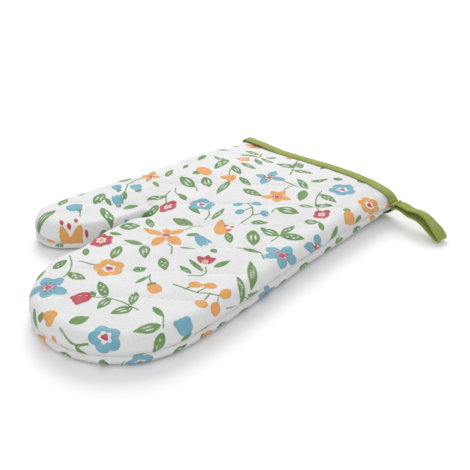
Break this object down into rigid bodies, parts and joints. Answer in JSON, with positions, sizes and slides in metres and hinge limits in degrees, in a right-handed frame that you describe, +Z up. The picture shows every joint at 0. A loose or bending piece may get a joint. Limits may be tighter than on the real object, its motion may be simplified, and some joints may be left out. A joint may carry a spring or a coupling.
{
  "type": "oven mitt",
  "caption": "Quilted cotton oven mitt with a separate thumb, a bound cuff and a hanging loop, lying flat with the palm side up.",
  "frame": {"origin": "middle of the whole mitt's box, on the table that it lies on", "axes": "+Y from the fingertips to the cuff, +X from the thumb side to the loop side, +Z up out of the palm"},
  "size_m": [0.223, 0.302, 0.026],
  "materials": {
    "printed_cotton": "matt plain-weave cotton, white with a small printed flower pattern, diamond quilted",
    "wadding": "soft matt fibre wadding",
    "lining": "matt plain-weave cotton, off-white",
    "seam_allowance": "raw turned-in edges of the panels, matt",
    "binding_tape": "matt woven cotton tape, olive green",
    "green_thread": "slightly shiny polyester thread, olive green"
  },
  "bodies": {
    "hand": {"palm_cover_hand": "printed_cotton", "palm_wadding_hand": "wadding", "palm_lining_hand": "lining", "seam_allowance_thumb_side": "seam_allowance", "seam_allowance_crotch": "seam_allowance", "seam_allowance_loop_side": "seam_allowance", "back_lining_hand": "lining", "back_wadding_hand": "wadding", "back_cover_hand": "printed_cotton", "cuff_binding": "binding_tape"},
    "fingers": {"palm_cover_fingers": "printed_cotton", "palm_wadding_fingers": "wadding", "palm_lining_fingers": "lining", "seam_allowance_fingers": "seam_allowance", "back_lining_fingers": "lining", "back_wadding_fingers": "wadding", "back_cover_fingers": "printed_cotton"},
    "thumb": {"palm_cover_thumb": "printed_cotton", "palm_wadding_thumb": "wadding", "palm_lining_thumb": "lining", "seam_allowance_thumb": "seam_allowance", "back_lining_thumb": "lining", "back_wadding_thumb": "wadding", "back_cover_thumb": "printed_cotton"},
    "loop": {"hanging_loop": "binding_tape", "loop_bar_tack": "green_thread"}
  },
  "joints": [
    {"name": "finger_fold", "type": "hinge", "parent": "hand", "child": "fingers", "pos_m": [0.0253, -0.029, 0.026], "axis": [-1, 0, 0], "range_deg": [0, 75], "stiffness_Nm_per_rad": 0.02},
    {"name": "thumb_fold", "type": "hinge", "parent": "hand", "child": "thumb", "pos_m": [-0.0447, -0.029, 0.026], "axis": [-0.9659, 0.2588, 0], "range_deg": [0, 60], "stiffness_Nm_per_rad": 0.008},
    {"name": "loop_swing", "type": "hinge", "parent": "hand", "child": "loop", "pos_m": [0.0669, 0.146, 0.0174], "axis": [0, -1, 0], "range_deg": [0, 110], "stiffness_Nm_per_rad": 0.0004}
  ]
}
